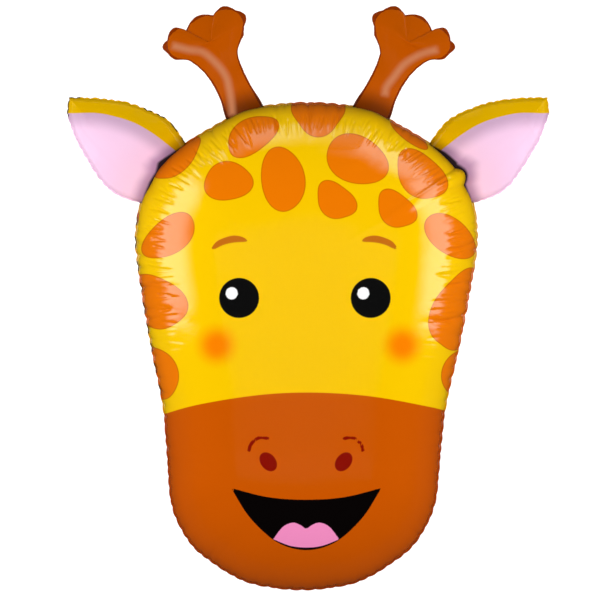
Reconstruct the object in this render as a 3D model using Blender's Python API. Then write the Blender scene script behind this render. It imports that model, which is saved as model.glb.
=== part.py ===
"""Giraffe head foil balloon, lying on its back with the face up. Metres, +Z up.

The real balloon is two printed foil sheets welded together all round, so it is one closed
envelope: a head lobe with two ear lobes and two horn lobes that open into it. It is sealed and
full of gas, so it is modelled as one solid. X runs across the face, +Y runs from the chin to the
crown, and Z = 0 is the surface that the flattened spot on its back rests on.
"""

import math

import bmesh
import bpy
import mathutils
import numpy as np

# Head lobe
HEAD_LENGTH = 0.672
HEAD_WIDTH = 0.4725
FRONT_BULGE = 0.132
BACK_BULGE = 0.125
REST_CUT = 0.005
CHIN_BULGE_SHARE = 0.90
# The crown has pulled over towards +X by this share of the height above the chin
CROWN_LEAN_SHARE = 0.0125

# Ear lobes, measured from the head's seam to the tip
EAR_LENGTH = 0.165
EAR_WIDTH = 0.125
EAR_BULGE = 0.030
EAR_TURN_DEGREES = 35.6
EAR_LEVEL_SHARE = 0.862
EAR_INSET = 0.008

# Horn lobes, measured from the head's seam to the top
HORN_LENGTH = 0.143
HORN_BULGE = 0.021
HORN_SPREAD = 0.178
HORN_ROOT_WIDTH = 0.056

# Welded hem and the gathers that inflating pulls into it. A gather comes in over the outer
# quarter of the foil's run to the seam, and the ears' gathers are this share of the head's.
HEM_WIDTH = 0.0045
HEM_THICKNESS = 0.0010
GATHER_PITCH = 0.0235
GATHER_DEPTH = 0.0035
GATHER_REACH = 0.050
GATHER_ONSET_SHARE = 0.25
EAR_GATHER_SHARE = 0.6
HEM_SCALLOP = 0.0016
HEM_WAVE = 0.0014

# Fineness of the faceted solid
HEAD_RINGS = 7
LIMB_RINGS = 4
INNER_RING_SHARE = 0.22
EDGE_STEPS = 2
SCALLOP_STEPS = 4
SPINE_STEPS = 6
PROFILE_STEPS = 256

# Half of the head's outline, as shares of its half width and of its length from chin to crown
HEAD_OUTLINE_SHARES = [
    (0.000, 0.000), (0.215, 0.007), (0.370, 0.023), (0.525, 0.056), (0.634, 0.087),
    (0.716, 0.129), (0.774, 0.184), (0.800, 0.282), (0.828, 0.379), (0.898, 0.494), (0.962, 0.615),
    (1.000, 0.718), (0.974, 0.790), (0.918, 0.833), (0.859, 0.870), (0.724, 0.913),
    (0.494, 0.962), (0.329, 0.988), (0.000, 1.000),
]
# Ends of the head's middle line, as shares of its length. The foil stands highest along it.
HEAD_SPINE_SHARES = (0.288, 0.662)

# The ear's outline, along it as shares of its length and across it as shares of its width
EAR_TOP_EDGE_SHARES = [
    (-0.200, 0.300), (0.000, 0.428), (0.157, 0.497), (0.262, 0.510), (0.405, 0.475),
    (0.547, 0.423), (0.659, 0.359), (0.851, 0.213), (1.000, 0.073),
]
EAR_LOWER_EDGE_SHARES = [
    (0.934, -0.082), (0.766, -0.241), (0.592, -0.351), (0.442, -0.433), (0.314, -0.483),
    (0.174, -0.482), (0.006, -0.415), (-0.200, -0.300),
]
EAR_SPINE_SHARES = [
    (-0.130, 0.000), (0.060, 0.000), (0.300, 0.010), (0.500, 0.010), (0.740, 0.000),
]
EAR_SPINE_BULGE_SHARES = [0.35, 0.55, 1.00, 0.97, 0.62]

# The horn's outline as shares of its length, +X away from the middle of the head
HORN_OUTER_EDGE_SHARES = [
    (0.062, -0.288), (0.168, -0.081), (0.217, 0.079), (0.289, 0.226), (0.389, 0.362),
    (0.530, 0.469), (0.666, 0.480), (0.736, 0.538),
]
HORN_SCALLOP_SHARES = [
    ((0.742, 0.668), 0.36), ((0.560, 0.766), 0.36), ((0.301, 0.911), 0.22),
    ((0.082, 0.957), 0.28), ((-0.001, 0.798), 0.34),
]
HORN_INNER_EDGE_SHARES = [
    (0.003, 0.716), (0.053, 0.600), (0.054, 0.512), (0.005, 0.383), (-0.080, 0.217),
    (-0.168, 0.081), (-0.272, -0.133),
]
HORN_SPINE_SHARES = [
    (-0.090, -0.180), (0.000, 0.000), (0.068, 0.149), (0.148, 0.306), (0.223, 0.441),
    (0.322, 0.635),
]
HORN_SPINE_BULGE_SHARES = [0.50, 0.62, 0.80, 0.84, 0.90, 1.00]

# Printed foil colours: red, green, blue
COAT_YELLOW = (0.95, 0.58, 0.01)


def smooth_through(points, steps):
    """An open Catmull-Rom curve through the points, with this many steps between each two."""
    ends = [2 * np.array(points[0]) - points[1], 2 * np.array(points[-1]) - points[-2]]
    known = [ends[0], *map(np.array, points), ends[1]]
    curve = []
    for before, start, end, after in zip(known, known[1:], known[2:], known[3:]):
        for step in range(steps):
            t = step / steps
            curve.append(0.5 * (
                2 * start + (end - before) * t
                + (2 * before - 5 * start + 4 * end - after) * t ** 2
                + (3 * start - before - 3 * end + after) * t ** 3
            ))
    return curve + [known[-2]]


def evenly_spaced(loop, count):
    """This many points, the same distance apart, round a closed loop."""
    closed = np.array([*loop, loop[0]])
    along = np.concatenate([[0], np.cumsum(np.linalg.norm(np.diff(closed, axis=0), axis=1))])
    wanted = np.linspace(0, along[-1], count, endpoint=False)
    return np.stack([np.interp(wanted, along, closed[:, axis]) for axis in (0, 1)], axis=1)


def loop_length(loop):
    """The length once round a closed loop."""
    closed = np.array([*loop, loop[0]])
    return np.linalg.norm(np.diff(closed, axis=0), axis=1).sum()


def arc_bulge(start, end, rise_share):
    """Points after start up to end on an arc that stands out to the left by a share of its chord."""
    start, end = np.array(start), np.array(end)
    chord = end - start
    outward = np.array([chord[1], -chord[0]])
    arc = []
    for step in range(1, SCALLOP_STEPS + 1):
        t = step / SCALLOP_STEPS
        arc.append(start + chord * t + outward * rise_share * math.sin(math.pi * t))
    return arc


def inflated_profile():
    """Heights of a round foil balloon's profile against distance from its middle, both from 0 to 1."""
    angle = np.linspace(0, math.pi / 2, PROFILE_STEPS)
    slope = np.sqrt(np.sin(angle))
    pieces = (slope[1:] + slope[:-1]) / 2
    height = np.concatenate([np.cumsum(pieces[::-1])[::-1], [0]])
    return slope, height / height[0]


PROFILE_SHARES, PROFILE_HEIGHTS = inflated_profile()


def ring_shares(rings, inner=INNER_RING_SHARE):
    """Ring places from the middle to the seam, closer together where the foil turns steep."""
    steep = [math.sqrt(math.sin(math.pi / 2 * ring / rings)) for ring in range(1, rings + 1)]
    return [inner, *(share for share in steep if share > inner)]


def rest_share():
    """The ring place where the back reaches the surface it rests on, the rim of its flat spot."""
    height = (BACK_BULGE - REST_CUT - HEM_THICKNESS / 2) / BACK_BULGE
    return np.interp(height, PROFILE_HEIGHTS[::-1], PROFILE_SHARES[::-1])


def nearest_on_spine(point, spine, bulges):
    """The spine's nearest point to this one, and the foil's height there."""
    best = (math.inf, spine[0], bulges[0])
    for start, end, low, high in zip(spine, spine[1:], bulges, bulges[1:]):
        run = end - start
        t = min(1, max(0, (point - start) @ run / (run @ run)))
        foot = start + run * t
        distance = np.linalg.norm(point - foot)
        if distance < best[0]:
            best = (distance, foot, low + (high - low) * t)
    return best


def gathered(to_seam):
    """How deep a gather is, from 1 at the seam to 0 at the end of its reach."""
    return max(0, 1 - to_seam / GATHER_REACH) ** 1.5


def welded_shares(edge, roots):
    """1 where the two sheets are welded at the edge, fading to 0 where they open into another lobe."""
    shares = []
    for point in edge:
        clear = min(np.linalg.norm(point - root) - half_width for root, half_width in roots)
        shares.append(min(1, max(0, clear / GATHER_PITCH)))
    return shares


def half_of_lobe(edge, spine, bulges, rings, gathers, side):
    """Rings of points for the front sheet (side 1) or the back one (side -1), middle first."""
    half_hem = HEM_THICKNESS / 2
    sheet = [[] for _ in range(len(rings) + 1)]
    for index, (point, gathered_here) in enumerate(zip(edge, gathers)):
        reach, foot, bulge = nearest_on_spine(point, spine, bulges)
        outward = (point - foot) / reach
        valley = index % 2 * gathered_here
        wave = HEM_WAVE * gathered_here * (1 if index % 4 < 2 else -1)
        seam = reach - HEM_WIDTH - HEM_SCALLOP * valley
        for place, share in enumerate(rings):
            sunk = GATHER_DEPTH * valley * gathered(seam * (1 - share))
            rise = bulge * np.interp(share, PROFILE_SHARES, PROFILE_HEIGHTS)
            height = half_hem + max(0, rise - sunk * min(1, (1 - share) / GATHER_ONSET_SHARE))
            level = side * height + wave * (share == 1)
            sheet[place].append((*(foot + outward * seam * share), level))
        hem_edge = foot + outward * (reach - HEM_SCALLOP * valley)
        sheet[-1].append((*hem_edge, side * half_hem + wave))
    return sheet


def lobe_object(name, edge, spine, bulges, back_bulges, rings, back_rings, gathers):
    """A pillow of two sheets, each domed over the spine, joined round a thin flat hem."""
    front = half_of_lobe(edge, spine, bulges, rings, gathers, 1)
    back = half_of_lobe(edge, spine, back_bulges, back_rings, gathers, -1)
    shape = bmesh.new()
    loops = [[shape.verts.new(point) for point in ring] for ring in [*front, *back[::-1]]]
    for inner, outer in zip(loops, loops[1:]):
        for index in range(len(edge)):
            ahead = (index + 1) % len(edge)
            shape.faces.new((inner[index], inner[ahead], outer[ahead], outer[index]))
    shape.faces.new(loops[0])
    shape.faces.new(loops[-1])
    bmesh.ops.recalc_face_normals(shape, faces=shape.faces)
    bmesh.ops.triangulate(shape, faces=shape.faces)
    mesh = bpy.data.meshes.new(name)
    shape.to_mesh(mesh)
    shape.free()
    mesh.shade_smooth()
    lobe = bpy.data.objects.new(name, mesh)
    bpy.context.scene.collection.objects.link(lobe)
    return lobe


def head_loop():
    """The head's outline in metres, chin at the origin, running up its +X side."""
    size = np.array([HEAD_WIDTH / 2, HEAD_LENGTH])
    right = smooth_through(mirrored_ends(HEAD_OUTLINE_SHARES), SPINE_STEPS)
    skipped = SPINE_STEPS
    right = np.array(right[skipped:-skipped]) * size
    left = right[-2:0:-1] * [-1, 1]
    return np.concatenate([right, left])


def mirrored_ends(half):
    """The half outline with one mirrored point at each end, so that it crosses X = 0 level."""
    before = (-half[1][0], half[1][1])
    after = (-half[-2][0], half[-2][1])
    return [before, *half, after]


def seam_point_at_level(loop, level):
    """The point of the head's +X side at this share of its length."""
    side = loop[: len(loop) // 2]
    return np.array([np.interp(level * HEAD_LENGTH, side[:, 1], side[:, 0]), level * HEAD_LENGTH])


def seam_point_at_spread(loop, spread):
    """The point of the crown's +X side where the two sides are this far apart."""
    side = loop[: len(loop) // 2 + 1]
    crown = side[side[:, 0].argmax():][::-1]
    return np.array([spread / 2, np.interp(spread / 2, crown[:, 0], crown[:, 1])])


def head_lobe(loop, ear_root, horn_root):
    """The big pillow of the head, gathered all round except where the limbs open into it."""
    count = round(loop_length(loop) / GATHER_PITCH / 2) * 4
    edge = evenly_spaced(loop, count)
    roots = [
        (root * [side, 1], half_width)
        for root, half_width in ((ear_root, EAR_WIDTH / 2), (horn_root, HORN_ROOT_WIDTH / 2))
        for side in (1, -1)
    ]
    spine = [np.array([0, share * HEAD_LENGTH]) for share in HEAD_SPINE_SHARES]
    front = [FRONT_BULGE * CHIN_BULGE_SHARE, FRONT_BULGE]
    back = [BACK_BULGE, BACK_BULGE]
    rings = ring_shares(HEAD_RINGS)
    back_rings = ring_shares(HEAD_RINGS, rest_share())
    gathers = welded_shares(edge, roots)
    return lobe_object("foil_balloon_envelope", edge, spine, front, back, rings, back_rings, gathers)


def limb_lobe(name, edge, spine, bulges, side, root_width, gathers):
    """An ear or a horn. Side -1 mirrors it to the head's -X side."""
    gathers = [gathers * share for share in welded_shares(edge, [(np.zeros(2), root_width / 2)])]
    mirror = np.array([side, 1])
    edge = [np.array(point) * mirror for point in edge]
    spine = [np.array(point) * mirror for point in spine]
    rings = ring_shares(LIMB_RINGS)
    lobe = lobe_object(name, edge, spine, bulges, bulges, rings, rings, gathers)
    lobe.hide_render = True
    lobe.display_type = "WIRE"
    return lobe


def smooth_heights(bulge, shares):
    """Heights along a limb's spine, one for each point that smooth_through gives the spine."""
    return [bulge * share for share, _ in smooth_through([(share, 0) for share in shares], SPINE_STEPS)]


def ear_axis():
    """The way the +X ear points, level from its root to its tip."""
    turn = math.radians(EAR_TURN_DEGREES)
    return np.array([math.cos(turn), math.sin(turn)])


def ear_lobe(side):
    """An ear, its root at the origin and its tip turned up from the side."""
    size = np.array([EAR_LENGTH, EAR_WIDTH])
    top = smooth_through(EAR_TOP_EDGE_SHARES, EDGE_STEPS)
    lower = smooth_through(EAR_LOWER_EDGE_SHARES, EDGE_STEPS)
    turn = np.array([ear_axis(), [-ear_axis()[1], ear_axis()[0]]])
    edge = np.array([*top, *lower])[::-1] * size @ turn
    spine = smooth_through(np.array(EAR_SPINE_SHARES) * size @ turn, SPINE_STEPS)
    bulges = smooth_heights(EAR_BULGE, EAR_SPINE_BULGE_SHARES)
    name = "ear_right_helper" if side > 0 else "ear_left_helper"
    return limb_lobe(name, edge, spine, bulges, side, EAR_WIDTH, EAR_GATHER_SHARE)


def horn_lobe(side):
    """A horn, its root at the origin: a stem that bends outward into a scalloped fan."""
    edge = smooth_through(HORN_OUTER_EDGE_SHARES, EDGE_STEPS)
    for end, rise_share in HORN_SCALLOP_SHARES:
        edge += arc_bulge(edge[-1], end, rise_share)
    edge += smooth_through(HORN_INNER_EDGE_SHARES, EDGE_STEPS)
    edge = np.array(edge) * HORN_LENGTH
    spine = smooth_through(np.array(HORN_SPINE_SHARES) * HORN_LENGTH, SPINE_STEPS)
    bulges = smooth_heights(HORN_BULGE, HORN_SPINE_BULGE_SHARES)
    name = "horn_right_helper" if side > 0 else "horn_left_helper"
    return limb_lobe(name, edge, spine, bulges, side, HORN_ROOT_WIDTH, 0)


def printed_foil(name, colour):
    """Glossy ink over metallised film."""
    foil = bpy.data.materials.new(name)
    foil.use_nodes = True
    shader = foil.node_tree.nodes["Principled BSDF"]
    shader.inputs["Base Color"].default_value = (*colour, 1)
    shader.inputs["Metallic"].default_value = 0.3
    shader.inputs["Roughness"].default_value = 0.25
    return foil


def joined(head, limb):
    """Open the limb's lobe into the head's, so that the two are one envelope."""
    union = head.modifiers.new("Joins " + limb.name, "BOOLEAN")
    union.operation = "UNION"
    union.solver = "EXACT"
    union.object = limb


def build():
    for old in list(bpy.data.objects):
        bpy.data.objects.remove(old)
    loop = head_loop()
    ear_root = seam_point_at_level(loop, EAR_LEVEL_SHARE) - EAR_INSET * ear_axis()
    horn_root = seam_point_at_spread(loop, HORN_SPREAD)
    head = head_lobe(loop, ear_root, horn_root)
    head.data.materials.append(printed_foil("yellow printed foil", COAT_YELLOW))
    leaning = mathutils.Matrix.Shear("XZ", 4, (CROWN_LEAN_SHARE, 0))
    head.data.transform(leaning)
    limb_points = []
    for side in (1, -1):
        for limb, root in ((ear_lobe(side), ear_root), (horn_lobe(side), horn_root)):
            limb.data.transform(leaning)
            limb.parent = head
            limb.location = leaning @ mathutils.Vector((side * root[0], root[1], 0))
            limb_points += [limb.location + vertex.co for vertex in limb.data.vertices]
            joined(head, limb)
    # The ears reach furthest to both sides and a horn furthest up, so they centre the balloon
    across = [point.x for point in limb_points]
    tallest = max(point.y for point in limb_points)
    head.location = (-(min(across) + max(across)) / 2, -tallest / 2, BACK_BULGE - REST_CUT)


build()
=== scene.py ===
# %% [markdown]
# # A giraffe head balloon in printed foil
# The real balloon is two sheets of metallised film, printed, welded together all round and then
# filled. Nothing in it is rigid: the film bulges between its welds and the rim puckers into gathers.
# Here each lobe (head, ears, horns) is made the way that the real one gets its shape. First comes
# the flat outline, then the curve that an inflated foil takes over it, then the creases that the
# rim throws into the film, and last the print, which is laid on the film as it was when flat.
# Sizes are in metres. X runs across the face, Y from the chin to the horns, Z out of the face.

# %% Load the frame
import math

import bpy
import numpy as np
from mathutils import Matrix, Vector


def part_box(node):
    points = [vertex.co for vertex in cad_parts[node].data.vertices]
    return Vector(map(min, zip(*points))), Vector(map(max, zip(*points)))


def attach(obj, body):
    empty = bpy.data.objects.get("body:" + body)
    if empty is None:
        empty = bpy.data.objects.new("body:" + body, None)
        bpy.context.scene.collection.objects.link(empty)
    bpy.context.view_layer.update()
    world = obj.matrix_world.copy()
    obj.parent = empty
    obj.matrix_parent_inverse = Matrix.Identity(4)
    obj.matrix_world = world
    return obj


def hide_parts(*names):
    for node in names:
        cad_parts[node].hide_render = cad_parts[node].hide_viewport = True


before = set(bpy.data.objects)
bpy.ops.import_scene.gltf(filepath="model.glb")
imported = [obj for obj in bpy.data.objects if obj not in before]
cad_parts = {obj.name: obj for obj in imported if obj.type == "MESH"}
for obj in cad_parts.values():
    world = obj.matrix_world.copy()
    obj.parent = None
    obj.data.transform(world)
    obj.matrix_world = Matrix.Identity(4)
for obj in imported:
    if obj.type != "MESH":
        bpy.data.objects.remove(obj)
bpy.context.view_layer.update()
ENVELOPE = "foil_balloon_envelope"
low, high = (np.array(corner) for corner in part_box(ENVELOPE))
print("The solid envelope measures", np.round(high - low, 4), "m")

# %% [markdown]
# ## Sizes
# The solid in the frame was built from these same sizes, so a lobe that repeats them lies where its
# solid lies. The horns start with more bulge, since evening out their film flattens them. The outlines
# are given as shares of a lobe's own length and width, which is how a pattern cutter would scale one
# pattern to several balloons.

# %% The head's sizes
HEAD_LENGTH = 0.672
HEAD_WIDTH = 0.4725
FRONT_BULGE = 0.132
BACK_BULGE = 0.125
REST_CUT = 0.005
CHIN_BULGE_SHARE = 0.90
CROWN_LEAN_SHARE = 0.0125
HEAD_SPINE_SHARES = (0.288, 0.662)
HEAD_OUTLINE_SHARES = [
    (0.000, 0.000), (0.215, 0.007), (0.370, 0.023), (0.525, 0.056), (0.634, 0.087),
    (0.716, 0.129), (0.774, 0.184), (0.800, 0.282), (0.828, 0.379), (0.898, 0.494), (0.962, 0.615),
    (1.000, 0.718), (0.974, 0.790), (0.918, 0.833), (0.859, 0.870), (0.724, 0.913),
    (0.494, 0.962), (0.329, 0.988), (0.000, 1.000),
]
SEAM_HEIGHT = low[2] + BACK_BULGE - REST_CUT

# %% The ears' sizes
EAR_LENGTH = 0.165
EAR_WIDTH = 0.125
EAR_BULGE = 0.030
EAR_TURN_DEGREES = 35.6
EAR_LEVEL_SHARE = 0.862
EAR_INSET = 0.008
EAR_TOP_EDGE_SHARES = [
    (-0.200, 0.300), (0.000, 0.428), (0.157, 0.497), (0.262, 0.510), (0.405, 0.475),
    (0.547, 0.423), (0.659, 0.359), (0.851, 0.213), (1.000, 0.073),
]
EAR_LOWER_EDGE_SHARES = [
    (0.934, -0.082), (0.766, -0.241), (0.592, -0.351), (0.442, -0.433), (0.314, -0.483),
    (0.174, -0.482), (0.006, -0.415), (-0.200, -0.300),
]
EAR_SPINE_SHARES = [
    (-0.130, 0.000), (0.060, 0.000), (0.300, 0.010), (0.500, 0.010), (0.740, 0.000),
]
EAR_SPINE_BULGE_SHARES = [0.35, 0.55, 1.00, 0.97, 0.62]

# %% The horns' sizes
HORN_LENGTH = 0.143
HORN_BULGE = 0.027
HORN_SPREAD = 0.178
HORN_ROOT_WIDTH = 0.056
HORN_OUTER_EDGE_SHARES = [
    (0.062, -0.288), (0.168, -0.081), (0.217, 0.079), (0.289, 0.226), (0.389, 0.362),
    (0.530, 0.469), (0.666, 0.480), (0.736, 0.538),
]
HORN_SCALLOP_SHARES = [
    ((0.742, 0.668), 0.36), ((0.560, 0.766), 0.36), ((0.301, 0.911), 0.22),
    ((0.082, 0.957), 0.28), ((-0.001, 0.798), 0.34),
]
HORN_INNER_EDGE_SHARES = [
    (0.003, 0.716), (0.053, 0.600), (0.054, 0.512), (0.005, 0.383), (-0.080, 0.217),
    (-0.168, 0.081), (-0.272, -0.133),
]
HORN_SPINE_SHARES = [
    (-0.090, -0.180), (0.000, 0.000), (0.068, 0.149), (0.148, 0.306), (0.223, 0.441),
    (0.322, 0.635),
]
HORN_SPINE_BULGE_SHARES = [0.50, 0.62, 0.80, 0.84, 0.90, 1.00]

# %% [markdown]
# ## Outlines
# A cut edge on film is a smooth line through a few points. Blender's own curves could draw it, but
# the same points are needed later to carry creases and print, so a Catmull-Rom curve in numpy is
# simpler: it passes through every point that is given.

# %% Smooth lines
def smooth_through(points, steps):
    """An open Catmull-Rom curve through the points, with this many steps between each two."""
    points = np.array(points, float)
    known = np.concatenate([[2 * points[0] - points[1]], points, [2 * points[-1] - points[-2]]])
    before, start, end, after = known[:-3, None], known[1:-2, None], known[2:-1, None], known[3:, None]
    t = np.linspace(0, 1, steps, endpoint=False)[None, :, None]
    curve = 0.5 * (
        2 * start + (end - before) * t
        + (2 * before - 5 * start + 4 * end - after) * t ** 2
        + (3 * start - before - 3 * end + after) * t ** 3
    )
    return np.concatenate([curve.reshape(-1, points.shape[1]), points[-1:]])


def evenly_spaced(loop, count):
    """This many points, the same distance apart, round a closed loop, and that distance."""
    closed = np.concatenate([loop, loop[:1]])
    along = np.concatenate([[0], np.cumsum(np.linalg.norm(np.diff(closed, axis=0), axis=1))])
    wanted = np.linspace(0, along[-1], count, endpoint=False)
    points = np.stack([np.interp(wanted, along, closed[:, axis]) for axis in (0, 1)], axis=1)
    return points, along[-1] / count


# %% The head's outline
LINE_STEPS = 16


def head_loop():
    """The head's outline, chin at the origin, running up its +X side."""
    half = HEAD_OUTLINE_SHARES
    ends = [(-half[1][0], half[1][1]), *half, (-half[-2][0], half[-2][1])]
    right = smooth_through(ends, LINE_STEPS)[LINE_STEPS:-LINE_STEPS] * [HEAD_WIDTH / 2, HEAD_LENGTH]
    return np.concatenate([right, right[-2:0:-1] * [-1, 1]])


head_edge = head_loop()
print("The head's outline has", len(head_edge), "points")

# %% Where the ears and horns grow out of it
def ear_axis():
    """The way that the +X ear points, level from its root to its tip."""
    turn = math.radians(EAR_TURN_DEGREES)
    return np.array([math.cos(turn), math.sin(turn)])


def seam_at_level(level):
    """The point of the head's +X side at this share of its length."""
    side = head_edge[: len(head_edge) // 2]
    return np.array([np.interp(level * HEAD_LENGTH, side[:, 1], side[:, 0]), level * HEAD_LENGTH])


def seam_at_spread(spread):
    """The point of the crown where the two sides are this far apart."""
    side = head_edge[: len(head_edge) // 2 + 1]
    crown = side[side[:, 0].argmax():][::-1]
    return np.array([spread / 2, np.interp(spread / 2, crown[:, 0], crown[:, 1])])


ear_root = seam_at_level(EAR_LEVEL_SHARE) - EAR_INSET * ear_axis()
horn_root = seam_at_spread(HORN_SPREAD)
print("Ear root", np.round(ear_root, 4), "and horn root", np.round(horn_root, 4))

# %% The ear's outline
EAR_TURN = np.array([ear_axis(), [-ear_axis()[1], ear_axis()[0]]])
EAR_SIZE = np.array([EAR_LENGTH, EAR_WIDTH])


def ear_outline():
    """The +X ear's outline and spine, its root at the origin, running round as the head's does."""
    top = smooth_through(EAR_TOP_EDGE_SHARES, LINE_STEPS)
    lower = smooth_through(EAR_LOWER_EDGE_SHARES, LINE_STEPS)
    edge = np.concatenate([top, lower])[::-1] * EAR_SIZE @ EAR_TURN
    return edge, smooth_through(np.array(EAR_SPINE_SHARES) * EAR_SIZE @ EAR_TURN, LINE_STEPS)


# %% The horn's outline
def arc_bulge(start, end, rise_share):
    """Points after start up to end on an arc that stands out by a share of its chord."""
    t = np.arange(1, LINE_STEPS + 1)[:, None] / LINE_STEPS
    chord = np.array(end) - start
    return start + chord * t + np.array([chord[1], -chord[0]]) * rise_share * np.sin(math.pi * t)


def horn_outline():
    """The +X horn's outline and spine, its root at the origin: a stem that opens into a scalloped fan."""
    edge = smooth_through(HORN_OUTER_EDGE_SHARES, LINE_STEPS)
    for end, rise_share in HORN_SCALLOP_SHARES:
        edge = np.concatenate([edge, arc_bulge(edge[-1], end, rise_share)])
    edge = np.concatenate([edge, smooth_through(HORN_INNER_EDGE_SHARES, LINE_STEPS)])
    return edge * HORN_LENGTH, smooth_through(np.array(HORN_SPINE_SHARES) * HORN_LENGTH, LINE_STEPS)


# %% [markdown]
# ## From flat pattern to full balloon
# Film doesn't stretch. When two flat discs of it are welded and filled, they take one certain
# profile, flat on top and upright at the weld, and the spare film at the rim goes into creases.
# That profile is worked out here from its formula. Each point of the outline sends a spoke to the
# nearest point of the lobe's middle line, and the spoke follows the profile.

# %% The profile of an inflated foil
HALF_FILM = 0.00015
WELD_WIDTH = 0.0024
PROFILE_STEPS = 1024
profile_angle = np.linspace(0, math.pi / 2, PROFILE_STEPS)
profile_shares = np.sqrt(np.sin(profile_angle))
profile_pieces = (profile_shares[1:] + profile_shares[:-1]) / 2
profile_heights = np.concatenate([np.cumsum(profile_pieces[::-1])[::-1], [0]])
profile_heights /= profile_heights[0]
half_way = float(np.interp(0.5, profile_shares, profile_heights))
print("Half way out the foil still stands at", round(half_way, 3))

# %% Spokes from the middle line to the weld
def spokes(edge, spine, bulges):
    """For every edge point: its foot on the spine, the way out, the distance and the height there."""
    best = np.full(len(edge), np.inf)
    foot = np.zeros_like(edge)
    bulge = np.zeros(len(edge))
    for start, end, low_end, high_end in zip(spine, spine[1:], bulges, bulges[1:]):
        run = end - start
        t = np.clip((edge - start) @ run / (run @ run), 0, 1)
        here = start + t[:, None] * run
        distance = np.linalg.norm(edge - here, axis=1)
        nearer = distance < best
        best[nearer] = distance[nearer]
        foot[nearer] = here[nearer]
        bulge[nearer] = (low_end + (high_end - low_end) * t)[nearer]
    return foot, (edge - foot) / best[:, None], best, bulge


# %% Rings that crowd towards the weld
HEIGHT_PER_WIDTH = 0.56


def ring_shares(film_width, first, growth, widest, innermost):
    """Ring places from the middle out, as shares of a spoke, spaced by distance along the film."""
    rise = profile_heights * film_width * HEIGHT_PER_WIDTH
    lengths = np.hypot(np.diff(rise), np.diff(profile_shares) * film_width)
    from_weld = np.concatenate([np.cumsum(lengths[::-1])[::-1], [0]])
    steps = [0.0]
    step = first
    while steps[-1] + step < from_weld[0]:
        steps.append(steps[-1] + step)
        step = min(widest, step * growth)
    shares = np.interp(steps, from_weld[::-1], profile_shares[::-1])[::-1]
    return shares[shares > innermost]


# %% A sheet of film over an outline
def sheet_over(edge, step, spine, bulges, shares, side, ceiling=None, weld_widths=WELD_WIDTH,
               round_share=0.0):
    """Film points on rings by spokes for the front sheet (side 1) or the back one (side -1).
    A narrow lobe, whose film can slide along, comes out rounder: that is round_share."""
    foot, outward, reach, bulge = spokes(edge, spine, bulges)
    flat = foot + outward * (reach - weld_widths)[:, None] * shares[:, None, None]
    profile = np.interp(shares, profile_shares, profile_heights) * (1 - round_share)
    profile += np.sqrt(np.clip(1 - shares ** 2, 0, None)) * round_share
    rise = bulge * profile[:, None]
    if ceiling is not None:
        rise = np.minimum(rise, ceiling)
    points = np.concatenate([flat, side * (HALF_FILM + rise)[..., None]], axis=2)
    inward = np.linalg.norm(np.diff(points[::-1], axis=0), axis=2).cumsum(axis=0)[::-1]
    inward = np.concatenate([inward, np.zeros((1, len(edge)))])
    around = (np.roll(points, -1, axis=1) - np.roll(points, 1, axis=1)) / 2
    normal = side * np.cross(np.gradient(points, axis=0), around)
    normal /= np.linalg.norm(normal, axis=2, keepdims=True)
    return {
        "points": points, "normal": normal, "inward": inward, "side": side, "step": step,
        "spacing": np.linalg.norm(around, axis=2), "outward": outward, "sunk": np.zeros_like(inward),
    }


# %% [markdown]
# ## Creases
# Round the rim the film is longer than the line that it is welded to, so it puckers: a sharp valley
# every 12 to 17 mm, with a soft lobe between. Most valleys die out within a hand's breadth, a few run
# further, and between them lie fine short ones. A cloth simulation finds such folds by itself, but
# too coarse for this size. Pressing each valley into the film keeps them crisp and under control.

# %% Press one valley
def press(film, place, depth, reach, tilt, width, spread, weld_share, onset=0.012):
    """Sink a valley that is sharp in the middle and dies away inwards from the weld."""
    count = film["points"].shape[1]
    index = place / film["step"]
    row = np.abs(film["inward"][:, int(index) % count] - reach).argmin()
    narrowest = film["spacing"][row:, int(index) % count].min()
    half = min(count // 2 - 1, int(3 + (width + (spread + abs(tilt)) * reach) / narrowest))
    columns = np.arange(int(index) - half, int(index) + half + 1)
    wrapped = columns % count
    inward = film["inward"][:, wrapped]
    aside = (columns - index) * film["spacing"][:, wrapped] - tilt * inward
    across = np.clip(1 - np.abs(aside) / (width + spread * inward), 0, None) ** 2
    fade = np.clip(1 - inward / reach, 0, None) ** 1.3
    onset = weld_share + (1 - weld_share) * np.clip(inward / onset, 0, 1)
    film["sunk"][:, wrapped] += depth * onset * fade * across


# %% Press one fine streak
def streak(film, place, depth, start, end, tilt, width):
    """Sink a narrow groove that begins some way in from the weld and ends further in."""
    count = film["points"].shape[1]
    index = place / film["step"]
    row = np.abs(film["inward"][:, int(index) % count] - end).argmin()
    narrowest = film["spacing"][row:, int(index) % count].min()
    half = min(count // 2 - 1, int(3 + (width + abs(tilt) * end) / narrowest))
    columns = np.arange(int(index) - half, int(index) + half + 1)
    wrapped = columns % count
    inward = film["inward"][:, wrapped]
    aside = (columns - index) * film["spacing"][:, wrapped] - tilt * (inward - start)
    across = np.clip(1 - np.abs(aside) / width, 0, None) ** 1.3
    run = np.clip((inward - start) / (end - start), 0, 1)
    along = np.clip(run * 4, 0, 1) * np.clip((1 - run) * 4, 0, 1)
    film["sunk"][:, wrapped] += depth * along * across


# %% Sink the film along its valleys
ROOT_FADE = 0.022


def settle(film, welded=1.0):
    """Move the film in by what was pressed into it, except where the lobe opens into another."""
    film["points"] = film["points"] - film["normal"] * (film["sunk"] * welded)[..., None]


def welded_shares(edge, roots):
    """1 where the two sheets are welded, fading to 0 where they open into another lobe."""
    shares = np.ones(len(edge))
    for root, half_width in roots:
        clear = np.linalg.norm(edge - root, axis=1) - half_width
        shares = np.minimum(shares, np.clip(clear / ROOT_FADE, 0, 1))
    return shares


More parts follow.
